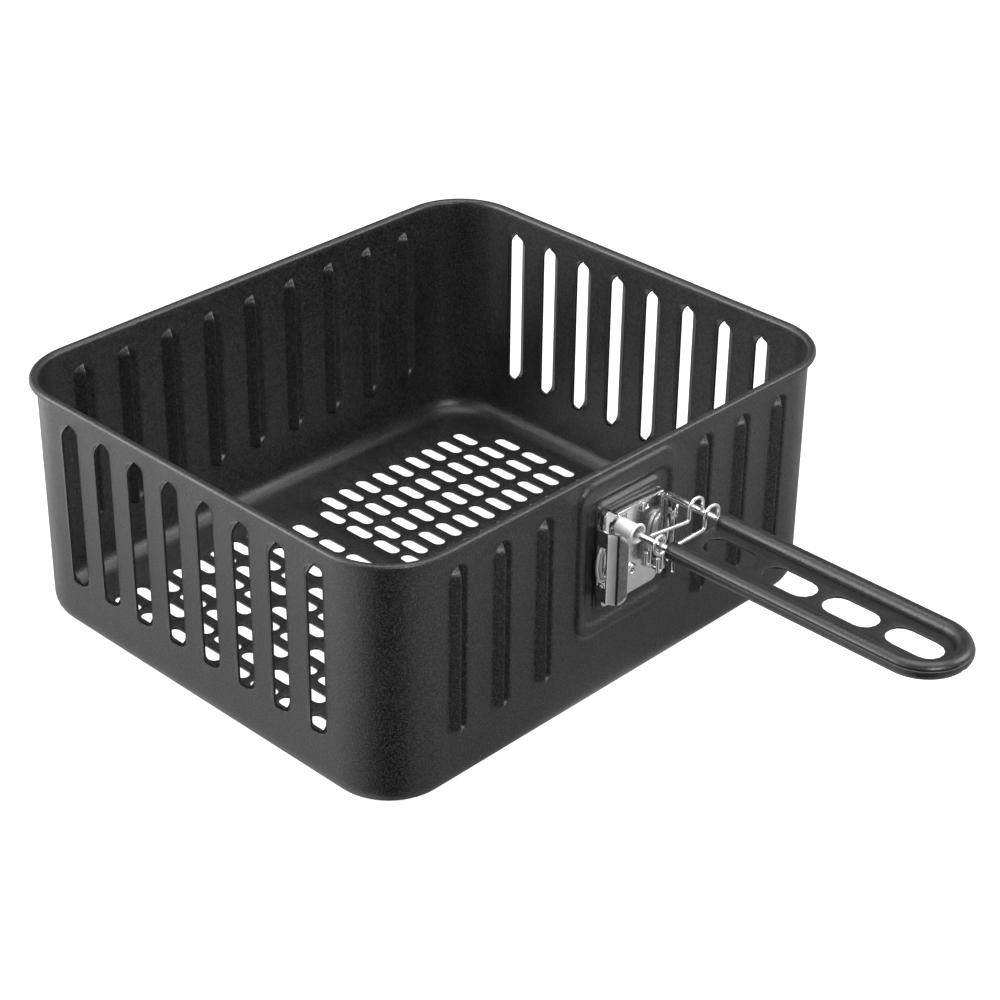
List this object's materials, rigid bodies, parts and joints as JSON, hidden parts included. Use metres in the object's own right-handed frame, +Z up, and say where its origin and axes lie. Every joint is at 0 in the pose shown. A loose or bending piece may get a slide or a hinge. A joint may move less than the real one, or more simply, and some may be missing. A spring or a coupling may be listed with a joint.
{
  "type": "air fryer basket",
  "caption": "Rectangular air fryer basket of dark coated sheet steel with louvred walls, a slotted floor and a lift-out wire handle with a pressed grip.",
  "frame": {"origin": "middle of the basket's flat floor, on the surface that it stands on", "axes": "+Z up, -Y along the handle away from the basket, +X along the front wall to the right as seen from the handle"},
  "size_m": [0.28, 0.4053, 0.1175],
  "materials": {
    "coated_sheet": "satin non-stick coating",
    "plated_sheet": "bright nickel plate",
    "plated_wire": "bright plate on drawn wire",
    "coated_grip": "satin black coating",
    "bright_sleeve": "bright turned steel",
    "spring_wire": "drawn spring wire"
  },
  "bodies": {
    "basket": {"basket_shell": "coated_sheet", "backing_plate": "coated_sheet", "handle_bracket": "plated_sheet", "rivet_upper_left": "plated_sheet", "rivet_upper_right": "plated_sheet", "rivet_lower": "plated_sheet"},
    "handle": {"handle_wire": "plated_wire", "grip_shell": "coated_grip"},
    "sleeve": {"lock_sleeve": "bright_sleeve"},
    "clip": {"clip_wire": "plated_wire"},
    "latch_left": {"latch_loop_left": "spring_wire"},
    "latch_right": {"latch_loop_right": "spring_wire"}
  },
  "joints": [
    {"name": "handle_lift", "type": "slide", "parent": "basket", "child": "handle", "axis": [0, 0, 1], "range_m": [0, 0.04]},
    {"name": "sleeve_slide", "type": "slide", "parent": "handle", "child": "sleeve", "axis": [0, -1, 0], "range_m": [0, 0.0024]},
    {"name": "clip_slide", "type": "slide", "parent": "handle", "child": "clip", "axis": [0, -1, 0], "range_m": [0, 0.0034]},
    {"name": "latch_left_press", "type": "slide", "parent": "basket", "child": "latch_left", "axis": [1, 0, 0], "range_m": [0, 0.0015], "stiffness_N_per_m": 400},
    {"name": "latch_right_press", "type": "slide", "parent": "basket", "child": "latch_right", "axis": [-1, 0, 0], "range_m": [0, 0.0015], "stiffness_N_per_m": 400}
  ]
}
